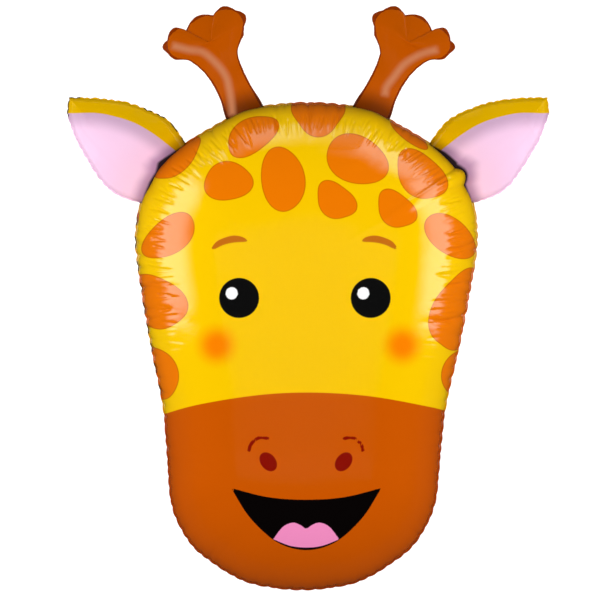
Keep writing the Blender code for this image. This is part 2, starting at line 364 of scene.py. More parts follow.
def nearness(count, step, place, half_width):
    """1 at a place on a closed seam, falling to 0 at the half width on either side of it."""
    length = step * count
    away = np.abs((np.arange(count) * step - place + length / 2) % length - length / 2)
    return np.clip(1 - away / half_width, 0, None)


# %% [markdown]
# ## The print
# A balloon is printed while the film is flat, with a few solid inks: yellow coat, orange patches,
# brown muzzle, and a friendly plain face. The same is done here. Each shape is an outline on the
# flat sheet, given in millimetres from the middle line and up from the chin, and every point of the
# film stores how far inside that outline it is. The material turns this distance into a clean edge,
# so no picture file is needed and the edge stays crisp however close the camera comes.

# %% How far inside a printed shape a place is
PRINT_REACH = 0.006


def distance_inside(outline, places, reach=PRINT_REACH):
    """How far each place is inside a closed outline, negative outside, both cut off at a reach."""
    found = np.full(len(places), -reach)
    near = ((places > outline.min(0) - reach) & (places < outline.max(0) + reach)).all(1)
    points = places[near]
    nearest = np.full(len(points), np.inf)
    inside = np.zeros(len(points), bool)
    for start, end in zip(outline, np.roll(outline, -1, axis=0)):
        run = end - start
        along = np.clip((points - start) @ run / (run @ run), 0, 1)
        gap = points - start - along[:, None] * run
        nearest = np.minimum(nearest, (gap ** 2).sum(1))
        crosses = (start[1] > points[:, 1]) != (end[1] > points[:, 1])
        inside ^= crosses & (points[:, 0] < start[0] + (points[:, 1] - start[1]) * run[0] / (run[1] or 1))
    found[near] = np.where(inside, 1, -1) * np.sqrt(nearest)
    return np.clip(found, -reach, reach)


# %% Simple shapes to print
BLOB_STEPS = 60


def blob(middle, half_length, half_width, turn_degrees=0, corner=0, corner_turn=0):
    """An ellipse, or with a corner share a soft three-cornered one. Millimetres in, metres out."""
    angle = np.linspace(0, 2 * math.pi, BLOB_STEPS, endpoint=False)
    swell = 1 + corner * np.cos(3 * (angle - math.radians(corner_turn)))
    turn = math.radians(turn_degrees)
    along = half_length * swell * np.cos(angle)
    across = half_width * swell * np.sin(angle)
    x = along * math.cos(turn) - across * math.sin(turn)
    y = along * math.sin(turn) + across * math.cos(turn)
    return (np.stack([x, y], axis=1) + middle) / 1000


def ribbon(points, half):
    """The outline of a stroke along a smooth line. Millimetres in, metres out."""
    line = smooth_through(points, 8)
    way = np.gradient(line, axis=0)
    way /= np.linalg.norm(way, axis=1, keepdims=True)
    beside = np.stack([-way[:, 1], way[:, 0]], axis=1) * half
    return np.concatenate([line + beside, (line - beside)[::-1]]) / 1000


# %% The coat's patches
FACE_MIDDLE = -5.0
PATCHES = [
    ((-77, 625), 39, 23.5, 33, 0.07, -19), ((-110, 562), 34, 27, 6, 0.06, -23),
    ((-35, 565), 45, 30.5, 98, 0.03, 21), ((67, 592), 44.5, 33, -24, 0.04, 4),
    ((38, 536), 30.5, 23, -41, 0.09, 35), ((121, 524), 30.5, 22.5, -43, 0.09, 36),
    ((155, 571), 40.5, 28, -44, 0.08, 36), ((195, 487), 41, 24.5, -38, 0.02, -6),
    ((-191, 487), 42, 24.5, 37, 0.05, 46), ((-178, 592), 40, 15, 42, 0.10, 23),
    ((139, 626), 32, 9, -37, 0.0, 0), ((-206, 397), 43, 33, -40, 0.08, 48),
    ((-205, 300), 38, 25, -66, 0.06, -33), ((204, 385), 58, 32, 70, 0.10, -10),
    ((203, 299), 31, 19, 79, 0.05, -25), ((14, 655), 36, 29, 0, 0.12, 30),
    ((-244, 513), 20, 12, 80, 0.0, 0),
]

# %% The face's shapes
BROW_TOP = [(-83, 480.9), (-89.3, 485.6), (-99.9, 487.8), (-110.5, 486.3), (-124.6, 480.4), (-132.6, 471.5)]
BROW_UNDER = [
    (-132.6, 471.5), (-131.6, 469), (-127.8, 469.4), (-118.2, 474.2), (-107.2, 477.4), (-96.2, 478.7),
    (-85.9, 479.3), (-83, 480.9),
]
EYE_PLACE = (-90.4, 402.1)
EYE_RADIUS = 27.6
GLINT_OFFSET = (-10.2, 6.4)
GLINT_RADIUS = 8.5
CHEEK_PLACE = (-127.6, 337.2)
CHEEK_RADIUS = 36.0
MUZZLE_TOP = [
    (-280, 205), (-230, 231), (-198.4, 242.3), (-148.4, 256.0), (-68.7, 268.6), (2.7, 272.2),
    (80, 267.6), (151.1, 255.6), (200, 243.5), (270, 215),
]
NOSTRIL_PLACE = (-51.8, 177.0)
NOSTRIL_HALF_SIZE = (14.6, 10.4)
NOSTRIL_TURN_DEGREES = -52
NOSE_LINE = [(-81.6, 190.5), (-79.5, 199.5), (-74.2, 205.9), (-65, 210.6), (-53.3, 208.2)]
NOSE_LINE_HALF_WIDTH = 2.3
MOUTH_CORNER = (-103.3, 141.0)
LIP_LINE = [(-103.3, 141.0), (-52, 128.4), (0, 124.9), (52, 128.4), (103.3, 141.0)]
JAW_LINE = [(103.3, 141.0), (79.6, 103.0), (50, 73.4), (26, 60.2), (0, 55.6)]
TONGUE_SIDE = [(-1.4, 85.3), (-9, 90.6), (-19, 93.3), (-32, 87.5), (-45.4, 70.6)]
TONGUE_UNDER = [(-45.4, 70.6), (-22, 61.6), (0, 59.2), (22, 61.6), (45.4, 70.6)]


def mirrored(points, middle=0.0):
    """The same points on the other side of a middle line, in the opposite order."""
    return [(2 * middle - x, y) for x, y in points[::-1]]


# %% Lay the whole print on a sheet
def closed_line(*parts):
    """One closed outline from smooth stretches that meet at corners. Millimetres in, metres out."""
    return np.concatenate([smooth_through(part, 8)[:-1] for part in parts]) / 1000


def face_shapes():
    """Every printed shape of the front sheet, by the name of its ink's attribute."""
    centre = FACE_MIDDLE
    muzzle = [(270, -60), (-280, -60)]
    jaw = [*JAW_LINE, *mirrored(JAW_LINE)[1:]]
    mouth = closed_line(LIP_LINE, jaw)
    tongue = closed_line(mirrored(TONGUE_SIDE), TONGUE_SIDE, TONGUE_UNDER)
    shift = np.array([centre + 2.4, 0]) / 1000
    shapes = {
        "patches": [blob(*patch) for patch in PATCHES],
        "muzzle": [np.concatenate([smooth_through(MUZZLE_TOP, 8), muzzle]) / 1000],
        "mouth": [mouth + shift],
        "tongue": [tongue + shift],
        "brows": [
            closed_line(BROW_TOP, BROW_UNDER),
            closed_line(mirrored(BROW_UNDER, centre), mirrored(BROW_TOP, centre)),
        ],
        "eyes": [],
        "glints": [],
        "cheeks": [],
        "nostrils": [],
    }
    for side in (-1, 1):
        eye = (centre + 0.6 - side * EYE_PLACE[0], EYE_PLACE[1])
        cheek = (centre + 7 - side * CHEEK_PLACE[0], CHEEK_PLACE[1])
        nostril = (centre + 2 - side * NOSTRIL_PLACE[0], NOSTRIL_PLACE[1])
        shapes["eyes"].append(blob(eye, EYE_RADIUS, EYE_RADIUS))
        glint = (eye[0] + GLINT_OFFSET[0], eye[1] + GLINT_OFFSET[1])
        shapes["glints"].append(blob(glint, GLINT_RADIUS, GLINT_RADIUS))
        shapes["cheeks"].append(blob(cheek, CHEEK_RADIUS, CHEEK_RADIUS))
        shapes["nostrils"].append(blob(nostril, *NOSTRIL_HALF_SIZE, -side * NOSTRIL_TURN_DEGREES))
    nose_line = [(x + centre + 5, y) for x, y in NOSE_LINE]
    shapes["nostrils"].append(ribbon(nose_line, NOSE_LINE_HALF_WIDTH))
    shapes["nostrils"].append(ribbon(mirrored(nose_line, centre + 2), NOSE_LINE_HALF_WIDTH))
    return shapes


# %% [markdown]
# ## Film into mesh
# The rings nearest the weld need a point every millimetre or two for the gathers, the middle of the
# sheet doesn't. So at two rings the number of points is halved, with three triangles where there were
# two quads. The front and back sheets share one weld, so the lobe comes out closed. The spokes of an
# ear or a horn leave a faint ridge where they meet. Real film has none, because it pulls itself even,
# so those lobes are relaxed: each point settles between its neighbours, and the lobe gets flatter.

# %% Stitch rings into faces
def between(outer, inner, side):
    """Faces between two rings of vertex numbers, the inner one with as many points or half."""
    outer_next = np.roll(outer, -1)
    inner_next = np.roll(inner, -1)
    if len(inner) == len(outer):
        faces = np.stack([inner, outer, outer_next, inner_next], axis=1).tolist()
    else:
        even, odd, after = outer[0::2], outer[1::2], np.roll(outer[0::2], -1)
        faces = [
            *np.stack([inner, even, odd], axis=1).tolist(),
            *np.stack([inner, odd, inner_next], axis=1).tolist(),
            *np.stack([inner_next, odd, after], axis=1).tolist(),
        ]
    return faces if side > 0 else [face[::-1] for face in faces]


# %% Close the middle and even out the film
SHORTEST_EDGE = 0.0002


def closing_strip(ring, side):
    """Faces across the innermost ring, from its one flank to its other.
    The ring's first point lies on the middle line."""
    half = len(ring) // 2
    right = ring[: half + 1]
    left = np.roll(ring[::-1], 1)[: half + 1]
    faces = []
    for corners in zip(right, right[1:], left[1:], left):
        face = list(dict.fromkeys(int(corner) for corner in corners))
        faces.append(face if side > 0 else face[::-1])
    return faces


def relaxed(points, faces, free, times):
    """The points after each free one has come level with its neighbours this many times.
    The swell then added keeps the mean height above the floor, so it doesn't refill the lobe."""
    edges = {(min(a, b), max(a, b)) for face in faces for a, b in zip(face, face[1:] + face[:1])}
    here, there = np.concatenate([sorted(edges), np.array(sorted(edges))[:, ::-1]]).T
    lengths = np.linalg.norm(points[here, :2] - points[there, :2], axis=1).clip(SHORTEST_EDGE)
    total_pull = np.bincount(here, 1 / lengths, len(points))
    pull = 1 / lengths / total_pull[here]
    height = points[:, 2].copy()
    lift = np.sign(height) * np.bincount(here, lengths, len(points)) / total_pull
    swell = np.zeros(len(points))
    for _ in range(times):
        level = np.bincount(here, height[there] * pull, len(points))
        swollen = np.bincount(here, swell[there] * pull, len(points)) + lift
        height = np.where(free, (height + level) / 2, height)
        swell = np.where(free, (swell + swollen) / 2, swell)
    lost = np.abs(points[:, 2]).sum() - np.abs(height).sum()
    return np.column_stack([points[:, :2], height + swell * lost / np.abs(swell).sum()])


# %% Make a lobe of two sheets
def lobe_mesh(name, front, back, halvings, fields, relax_from=None, times=0):
    """One closed mesh from the weld in over both sheets. fields are stored on its points.
    halvings gives, for the front and for the back, how far in the points are halved once and twice.
    From relax_from inwards the film is relaxed this many times."""
    points = []
    free = []
    faces = []
    values = {field: [] for field in fields}
    count = front["points"].shape[1]
    total = 0
    outermost = []
    for film, (once, twice) in zip((front, back), halvings):
        previous = None
        stride = 1
        for ring in range(film["points"].shape[0] - 1, -1, -1):
            out_from_weld = film["inward"][ring].mean()
            wanted = 1 if out_from_weld < once else 2 if out_from_weld < twice else 4
            stride = min(wanted, stride * 2)
            chosen = np.arange(0, count, stride)
            points.append(film["points"][ring, chosen])
            free.append(film["inward"][ring, chosen])
            for field in fields:
                values[field].append(film[field][ring, chosen])
            current = np.arange(len(chosen)) + total
            total += len(chosen)
            if previous is None:
                outermost.append(current)
            else:
                faces += between(previous, current, film["side"])
            previous = current
        faces += closing_strip(previous, film["side"])
    front_rim, back_rim = outermost
    faces += between(back_rim, front_rim, 1)
    points = np.concatenate(points)
    if relax_from is not None:
        points = relaxed(points, faces, np.concatenate(free) > relax_from, times)
    mesh = bpy.data.meshes.new(name)
    mesh.from_pydata(points.tolist(), [], faces)
    for field in fields:
        layer = mesh.attributes.new(field, "FLOAT", "POINT")
        layer.data.foreach_set("value", np.concatenate(values[field]).astype(np.float32))
    mesh.shade_smooth()
    lobe = bpy.data.objects.new(name, mesh)
    bpy.context.scene.collection.objects.link(lobe)
    return lobe


# %% Add the welded hem outside the two sheets
def add_hem(film, widths, waves, fields):
    """Carry a sheet on over its weld as a narrow flat hem that waves up and down."""
    weld = film["points"][-1]
    rows = [film["points"]]
    for share in (0.5, 1.0):
        edge = weld.copy()
        edge[:, :2] += film["outward"] * (widths * share)[:, None]
        edge[:, 2] = film["side"] * HALF_FILM + waves * share
        rows.append(edge[None])
    film["points"] = np.concatenate(rows)
    film["inward"] = np.concatenate([film["inward"], np.full((2, len(weld)), -0.001)])
    for field in fields:
        film[field] = np.concatenate([film[field], film[field][-1:], film[field][-1:]])


# %% [markdown]
# ## Where the balloon lies
# The outlines above start at the chin. The whole pattern leans a little towards +X at the crown and
# then moves to the middle of the solid in the frame, so that both fill the same box.

# %% Lean and place
def leaned(points):
    """Points of the pattern after the crown's lean."""
    return points + np.stack([points[..., 1] * CROWN_LEAN_SHARE, 0 * points[..., 1]], axis=-1)


def limb_edge(outline, root, side):
    """A limb's outline on the head, from the middle of its root round, mirrored for side -1."""
    placed = np.concatenate([(outline[:1] + outline[-1:]) / 2, outline]) + root
    return placed if side > 0 else np.roll(placed[::-1], 1, axis=0) * [-1, 1]


ear_edge, ear_spine = ear_outline()
horn_edge, horn_spine = horn_outline()
tips = leaned(np.concatenate([limb_edge(ear_edge, ear_root, side) for side in (1, -1)]))
middle_x = (tips[:, 0].min() + tips[:, 0].max()) / 2
origin = np.array([(low[0] + high[0]) / 2 - middle_x, low[1], SEAM_HEIGHT])
print("The chin lies at", np.round(origin, 4))


def laid_down(points):
    """Points of a lobe where it lies on the floor of the frame."""
    flat = leaned(points[..., :2])
    return np.concatenate([flat, points[..., 2:]], axis=-1) + origin


# %% [markdown]
# ## The head
# The head is the big lobe. Its seam is walked once to place the valleys, with pitch, depth and reach
# drawn from a seeded generator, so each run gives the same balloon.

# %% Build the head's two sheets
chance = np.random.default_rng(41)
SPOKES = 1328
HEAD_FILM = HEAD_WIDTH / 2
HEAD_HALVINGS = ((0.112, 0.135), (0.020, 0.060))
# The bulge of the head's film over the +X ear's root
BUMP_LEVEL = 0.570
BUMP_OUT = 0.0085
BUMP_HALF_LENGTH = 0.0115
head_ring, head_step = evenly_spaced(head_edge, SPOKES)
bump = np.clip(1 - ((head_ring[:, 1] - BUMP_LEVEL) / BUMP_HALF_LENGTH) ** 2, 0, None) ** 0.8
head_ring = head_ring + np.outer(BUMP_OUT * bump * (head_ring[:, 0] > 0), ear_axis())
head_spine = [np.array([0, share * HEAD_LENGTH]) for share in HEAD_SPINE_SHARES]
front_shares = ring_shares(HEAD_FILM, first=0.0012, growth=1.14, widest=0.0036, innermost=0.03)
back_shares = ring_shares(HEAD_FILM, first=0.0012, growth=1.30, widest=0.0075, innermost=0.03)
head_front = sheet_over(
    head_ring, head_step, head_spine, [FRONT_BULGE * CHIN_BULGE_SHARE, FRONT_BULGE], front_shares, 1)
head_back = sheet_over(
    head_ring, head_step, head_spine, [BACK_BULGE, BACK_BULGE], back_shares, -1,
    BACK_BULGE - REST_CUT - HALF_FILM)
head_roots = [
    (root * [side, 1], half_width)
    for root, half_width in ((ear_root, EAR_WIDTH / 2), (horn_root, HORN_ROOT_WIDTH / 2))
    for side in (1, -1)
]
head_welded = welded_shares(head_ring, head_roots)
print("Front rings", len(front_shares), "and back rings", len(back_shares))

# %% Press the head's valleys
VALLEY_PITCH = 0.0145
VALLEY_DEPTH = 0.0026
VALLEY_REACH = (0.075, 0.165)
VALLEY_HALF_WIDTH = VALLEY_PITCH * 0.62
VALLEY_SPREAD = 0.03
WELD_SHARE = 0.45
MOST_TILT = 0.12
HEM_WAVE = 0.0006
# The film is calm below the first level and fully creased from the second up
VALLEY_LEVELS = (0.330, 0.400)
STREAK_LEVELS = (0.340, 0.385)
STREAK_PITCH = 0.0068
STREAK_START = (0.045, 0.070)
STREAK_END = (0.092, 0.114)
STREAK_DEPTH = (0.0006, 0.0020)
STREAK_HALF_WIDTH = 0.0031


def share_up(place, levels, lowest):
    """From lowest to 1, how far up between two levels the seam is at a place."""
    return np.interp(head_ring[int(place / head_step) % SPOKES, 1], levels, (lowest, 1.0))


seam_length = head_step * SPOKES
places = []
place = 0.0
while place < seam_length - VALLEY_PITCH / 2:
    places.append(place)
    place += VALLEY_PITCH * chance.uniform(0.72, 1.28)
waves = np.zeros(SPOKES)
hem_widths = np.full(SPOKES, WELD_WIDTH)
for number, place in enumerate(places):
    upper = share_up(place, VALLEY_LEVELS, 0.0)
    depth = VALLEY_DEPTH * chance.uniform(0.6, 1.35) * (0.55 + 0.45 * upper)
    if number % 3 == 0:
        depth *= 1.35
    reach = chance.uniform(*VALLEY_REACH) * (0.5 + 0.5 * upper)
    for film in (head_front, head_back):
        tilt = chance.uniform(-MOST_TILT, MOST_TILT)
        press(film, place, depth, reach, tilt, VALLEY_HALF_WIDTH, VALLEY_SPREAD, WELD_SHARE)
    near = nearness(SPOKES, head_step, place, VALLEY_HALF_WIDTH)
    waves += (-1) ** number * HEM_WAVE * chance.uniform(0.3, 1.0) * near
    hem_widths -= HEM_WAVE * near ** 2
for film in (head_front, head_back):
    film["sunk"] *= head_welded
print(len(places), "valleys round the head")

# %% Press the fine streaks of its shoulders
place = 0.0
while place < seam_length:
    start = chance.uniform(*STREAK_START)
    end = chance.uniform(*STREAK_END)
    depth = share_up(place, STREAK_LEVELS, 0.08) * chance.uniform(*STREAK_DEPTH)
    tilt = chance.uniform(-MOST_TILT, MOST_TILT)
    streak(head_front, place, depth, start, end, tilt, STREAK_HALF_WIDTH)
    place += STREAK_PITCH * chance.uniform(0.6, 1.4)
for film in (head_front, head_back):
    settle(film)
waves *= head_welded

# %% Lay the head's print
VIEW_HEIGHT = 8.0


def print_places(points):
    """Where each point of a lobe lies on the flat sheet, as it looks from high above."""
    rise = points[..., 2] - SEAM_HEIGHT
    middle = np.array([0, (low[1] + high[1]) / 2])
    seen = middle + (points[..., :2] - middle) * (VIEW_HEIGHT / (VIEW_HEIGHT - rise))[..., None]
    return seen - [0, origin[1]]


def printed(film, points, shapes, reach=PRINT_REACH):
    """Store on the sheet how far inside each group of shapes its points are."""
    flat = print_places(points).reshape(-1, 2)
    for name, outlines in shapes.items():
        inside = np.full(len(flat), -reach)
        for outline in outlines:
            inside = np.maximum(inside, distance_inside(outline, flat, reach))
        film[name] = inside.reshape(points.shape[:2])


front_laid = laid_down(head_front["points"])
shapes = face_shapes()
cheeks = {"cheeks": shapes.pop("cheeks")}
printed(head_front, front_laid, shapes)
printed(head_front, front_laid, cheeks, CHEEK_RADIUS / 1000)
HEAD_INKS = [*shapes, "cheeks"]
print("Printed", HEAD_INKS)

# %% The plain back of the head
BACK_PATCHES = [
    ((-60, 600), 42, 30, 20, 0.06, 10), ((60, 560), 38, 27, -35, 0.06, 30),
    ((-130, 520), 36, 26, 60, 0.05, 0), ((-20, 500), 34, 26, 0, 0.07, 20),
    ((130, 450), 40, 28, 50, 0.06, 40), ((-100, 410), 40, 28, -20, 0.06, 0),
    ((30, 390), 38, 29, 15, 0.05, 25), ((-30, 310), 34, 25, -40, 0.06, 0),
    ((110, 340), 36, 26, 80, 0.05, 15),
]
back_laid = laid_down(head_back["points"])
plain = {name: [] for name in HEAD_INKS}
plain["patches"] = [blob(*patch) for patch in BACK_PATCHES]
plain["muzzle"] = shapes["muzzle"]
printed(head_back, back_laid, plain)
HEAD_FIELDS = [*HEAD_INKS, "hem", "rim", "crown"]
CROWN_REACH = 0.085
# Painted shade: the hem is inked dark on the -X side between these levels, where it waves up
HEM_SHADE_LEVELS = (0.260, 0.552)
HEM_SHADE_WAVE = 0.0002
for film in (head_front, head_back):
    film["hem"] = np.zeros(film["points"].shape[:2])
    # The rim and crown fields carry painted shade: darker along the weld, and at the rim where it faces the
    # crown
    film["rim"] = film["inward"].copy()
    facing_up = np.clip(film["outward"][:, 1] * 1.6 - 0.6, 0, 1)
    film["crown"] = facing_up * np.clip(1 - film["inward"] / CROWN_REACH, 0, 1)
    add_hem(film, hem_widths, waves, HEAD_FIELDS)
    film["points"] = laid_down(film["points"])
levels = head_ring[:, 1]
lowest_dark, highest_dark = HEM_SHADE_LEVELS
on_left = (head_ring[:, 0] < 0) * np.clip((levels - lowest_dark) / 0.02, 0, 1)
on_left = on_left * np.clip((highest_dark - levels) / 0.01, 0, 1)
# Painted shade on the hem where it waves up on the -X side
hem_shade_mask = np.clip(waves / HEM_SHADE_WAVE + 0.3, 0, 1) * on_left
head_front["hem"][-2:] = hem_shade_mask
head_back["hem"][-2:] = hem_shade_mask

# %% Join the head's sheets
head = lobe_mesh("head_foil", head_front, head_back, HEAD_HALVINGS, HEAD_FIELDS)
print("The head has", sum(len(face.vertices) - 2 for face in head.data.polygons), "triangles")

# %% [markdown]
# ## The ears
# An ear is a flatter lobe, yellow behind and along its upper edge and pink inside. Film is pinched
# hard where it joins the head, which gives the dark fold at its root. The fold could be modelled, but
# no light reaches into it, so it is inked in, by how far a place is from the head's outline.

# %% What ears and horns have in common
LIMB_REACH = 0.060


def limb_spine(spine, root, side):
    """A limb's spine on the head."""
    return (spine + root) * [side, 1]


def limb_heights(shares):
    """The foil's height at each point of a limb's spine, as a share of its bulge."""
    return smooth_through([(share, 0) for share in shares], LINE_STEPS)[:, 0]


def outside_head(film):
    """How far each point of a sheet is outside the head's outline, negative inside it."""
    flat = film["points"][..., :2].reshape(-1, 2)
    return -distance_inside(head_ring, flat, LIMB_REACH).reshape(film["points"].shape[:2])


# %% Build an ear
EAR_SPOKES = 640
EAR_HALVINGS = ((0.030, 0.100), (0.015, 0.040))
EAR_RELAX_FROM = 0.014
EAR_RELAX_TIMES = 400
EAR_GATHER_PITCH = 0.0115
EAR_GATHER_DEPTH = 0.0013
EAR_GATHER_REACH = (0.010, 0.024)
EAR_GATHER_HALF_WIDTH = 0.0070
EAR_GATHER_SPREAD = 0.05
EAR_MOST_TILT = 0.15
EAR_HEM_BITE = (0.0002, 0.0016)
PINK_REACH = 0.030
EAR_PINK_TOP = [
    (345, 657), (326, 655.8), (292.7, 656.2), (269, 652.3), (240, 643.2), (214.6, 629.0), (192.6, 612.4),
    (175, 598.0), (150, 575),
]
EAR_FIELDS = ["pink", "crease", "hem"]
# Painted shade: the -X ear's hem is inked dark between these places, and at the tip
EAR_HEM_SHADE_X = (-0.228, -0.169)
EAR_HEM_SHADE_Y = 0.200
EAR_TIP_SHADE = (-0.313, 0.250)
# Level on the head, and how far from its outline the dark fold reaches there
LEFT_CREASE = [
    (0.530, -0.005), (0.545, -0.0025), (0.562, -0.0005), (0.575, -0.0025), (0.588, 0.0030),
    (0.598, -0.0005), (0.612, -0.003),
]
RIGHT_CREASE = [
    (0.528, -0.004), (0.548, -0.0025), (0.560, -0.0008), (0.578, -0.0008), (0.588, 0.0035), (0.602, 0.0015),
    (0.615, -0.004),
]


def ear_piece(side):
    """One ear, with its gathers and its two inks."""
    edge, step = evenly_spaced(limb_edge(ear_edge, ear_root, side), EAR_SPOKES)
    spine = limb_spine(ear_spine, ear_root, side)
    bulges = EAR_BULGE * limb_heights(EAR_SPINE_BULGE_SHARES)
    shares = ring_shares(EAR_WIDTH / 2, first=0.0010, growth=1.15, widest=0.0030, innermost=0.06)
    films = [sheet_over(edge, step, spine, bulges, shares, face) for face in (1, -1)]
    welded = welded_shares(edge, [(ear_root * [side, 1], EAR_WIDTH / 2)])
    length = step * EAR_SPOKES
    waves = np.zeros(EAR_SPOKES)
    hem_widths = np.full(EAR_SPOKES, WELD_WIDTH)
    place = 0.0
    number = 0
    while place < length:
        depth = EAR_GATHER_DEPTH * chance.uniform(0.5, 1.3)
        reach = chance.uniform(*EAR_GATHER_REACH)
        for film in films:
            tilt = chance.uniform(-EAR_MOST_TILT, EAR_MOST_TILT)
            press(film, place, depth, reach, tilt, EAR_GATHER_HALF_WIDTH, EAR_GATHER_SPREAD, WELD_SHARE)
        near = nearness(EAR_SPOKES, step, place, EAR_GATHER_HALF_WIDTH)
        waves += (-1) ** number * HEM_WAVE * chance.uniform(0.2, 1.0) * near
        hem_widths -= chance.uniform(*EAR_HEM_BITE) * near ** 2
        place += EAR_GATHER_PITCH * chance.uniform(0.7, 1.3)
        number += 1
    pink = np.array([*smooth_through(EAR_PINK_TOP, 8), (150, 500), (380, 500)]) / 1000 * [side, 1]
    for film in films:
        settle(film, welded)
        laid = laid_down(film["points"])
        printed(film, laid, {"pink": [pink] if film["side"] > 0 else []}, PINK_REACH)
        fold_levels, fold_widths = zip(*(RIGHT_CREASE if side > 0 else LEFT_CREASE))
        fold = np.interp(film["points"][..., 1], fold_levels, fold_widths)
        film["crease"] = fold - outside_head(film)
        film["hem"] = np.zeros(fold.shape)
        add_hem(film, hem_widths, waves * welded, EAR_FIELDS)
        film["points"] = laid_down(film["points"])
        # Painted shade on the hem's upper edge and at the tip
        rim = film["points"][-1]
        dark_from, dark_to = EAR_HEM_SHADE_X
        upper = (rim[:, 1] > EAR_HEM_SHADE_Y) & (rim[:, 0] > dark_from) & (rim[:, 0] < dark_to)
        tip = (rim[:, 0] < EAR_TIP_SHADE[0]) & (rim[:, 1] > EAR_TIP_SHADE[1])
        film["hem"][-2:] = upper * np.clip(waves / HEM_SHADE_WAVE + 0.6, 0, 1) + tip
    name = "right_ear_foil" if side > 0 else "left_ear_foil"
    return lobe_mesh(name, *films, EAR_HALVINGS, EAR_FIELDS, EAR_RELAX_FROM, EAR_RELAX_TIMES)


# %% Make both ears
ears = [ear_piece(side) for side in (1, -1)]
for ear in ears:
    print(ear.name, "has", len(ear.data.polygons), "faces")

# %% [markdown]
# ## The horns
# A horn is a narrow lobe that opens into a scalloped fan. Its film has few gathers, but a groove
# runs in from each notch between two scallops. A paler stroke along its outer side is a painted
# highlight, and the horn is darker at its root as painted shade.

# %% Build a horn
HORN_SPOKES = 560
HORN_HALVINGS = ((0.022, 0.060), (0.012, 0.060))
HORN_RELAX_FROM = 0.004
HORN_RELAX_TIMES = 2000
HORN_ROUND_SHARE = 0.8
HORN_HEM_SHARE = 0.8
WIDEST_EXTRA_HEM = 0.006
HEM_WINDOW = 0.020
GROOVE_DEPTH = 0.0012
GROOVE_REACH = 0.016
GROOVE_HALF_WIDTH = 0.0060
HORN_GATHER_PITCH = 0.011
HORN_GATHER_DEPTH = 0.0009
HORN_GATHER_REACH = (0.008, 0.016)
HORN_FIELDS = ["fold", "rim", "stroke"]
# The painted highlight up each horn's outer side, drawn as a paler stroke
HORN_HIGHLIGHT_REACH = 0.008
HORN_HIGHLIGHT_HALF_WIDTH = 3.2
HORN_HIGHLIGHT_STROKES = {
    -1: [
        (-185, 749), (-164, 743.5), (-144, 740), (-123.6, 722), (-112.7, 706), (-108.5, 690),
        (-105.8, 674), (-104, 655),
    ],
    1: [
        (177, 743.5), (155.3, 737.5), (136, 726.5), (126.4, 717), (118.2, 706), (108.5, 693),
        (105.8, 682),
    ],
}


def horn_piece(side):
    """One horn with the grooves that its notches pull into it."""
    outline = limb_edge(horn_edge, horn_root, side)
    edge, step = evenly_spaced(outline, HORN_SPOKES)
    spine = limb_spine(horn_spine, horn_root, side)
    bulges = HORN_BULGE * limb_heights(HORN_SPINE_BULGE_SHARES)
    shares = ring_shares(HORN_ROOT_WIDTH / 2, first=0.0009, growth=1.15, widest=0.0024, innermost=0.06)
    reach = spokes(edge, spine, bulges)[2]
    window = int(HEM_WINDOW / step)
    around = np.concatenate([reach[-window:], reach, reach[:window]])
    smooth = np.convolve(around, np.ones(2 * window + 1) / (2 * window + 1), "valid")
    weld_widths = WELD_WIDTH * HORN_HEM_SHARE + np.clip(reach - smooth + 0.0010, 0, WIDEST_EXTRA_HEM)
    films = [
        sheet_over(edge, step, spine, bulges, shares, face, None, weld_widths, HORN_ROUND_SHARE)
        for face in (1, -1)
    ]
    welded = welded_shares(edge, [(horn_root * [side, 1], HORN_ROOT_WIDTH / 2)])
    notches = [np.array(HORN_OUTER_EDGE_SHARES[-1])]
    notches += [np.array(end) for end, _ in HORN_SCALLOP_SHARES]
    for notch in notches:
        at = (notch * HORN_LENGTH + horn_root) * [side, 1]
        place = np.linalg.norm(edge - at, axis=1).argmin() * step
        for film in films:
            press(film, place, GROOVE_DEPTH, GROOVE_REACH, 0, GROOVE_HALF_WIDTH, 0.08, 0.3)
    place = 0.0
    while place < step * HORN_SPOKES:
        depth = HORN_GATHER_DEPTH * chance.uniform(0.3, 1.4)
        for film in films:
            reach = chance.uniform(*HORN_GATHER_REACH)
            tilt = chance.uniform(-0.2, 0.2)
            press(film, place, depth, reach, tilt, GROOVE_HALF_WIDTH, 0.05, 0.4)
        place += HORN_GATHER_PITCH * chance.uniform(0.6, 1.5)
    waves = np.zeros(HORN_SPOKES)
    for film in films:
        settle(film, welded)
        # How far outside the head a place is, for the painted shade at the horn's root
        film["fold"] = outside_head(film)
        film["rim"] = film["inward"].copy()
        # Painted highlight: a paler stroke up the horn's outer side
        stroke = ribbon(HORN_HIGHLIGHT_STROKES[side], HORN_HIGHLIGHT_HALF_WIDTH)
        highlight_strokes = {"stroke": [stroke] if film["side"] > 0 else []}
        printed(film, laid_down(film["points"]), highlight_strokes, HORN_HIGHLIGHT_REACH)
        add_hem(film, weld_widths, waves, HORN_FIELDS)
        film["points"] = laid_down(film["points"])
    name = "right_horn_foil" if side > 0 else "left_horn_foil"
    return lobe_mesh(name, *films, HORN_HALVINGS, HORN_FIELDS, HORN_RELAX_FROM, HORN_RELAX_TIMES)


# %% Make both horns
horns = [horn_piece(side) for side in (1, -1)]
for horn in horns:
    print(horn.name, "has", len(horn.data.polygons), "faces")

# %% [markdown]
# ## Ink over film
# The film is aluminised plastic with clear ink on it. Some light goes through the ink and back off
# the metal, which keeps the colour strong, and some is thrown back by the glossy face, which is
# white. One shader does both: a slightly metallic base under a clear coat. The ears and horns
# shine less than the head, so their coat is thin.

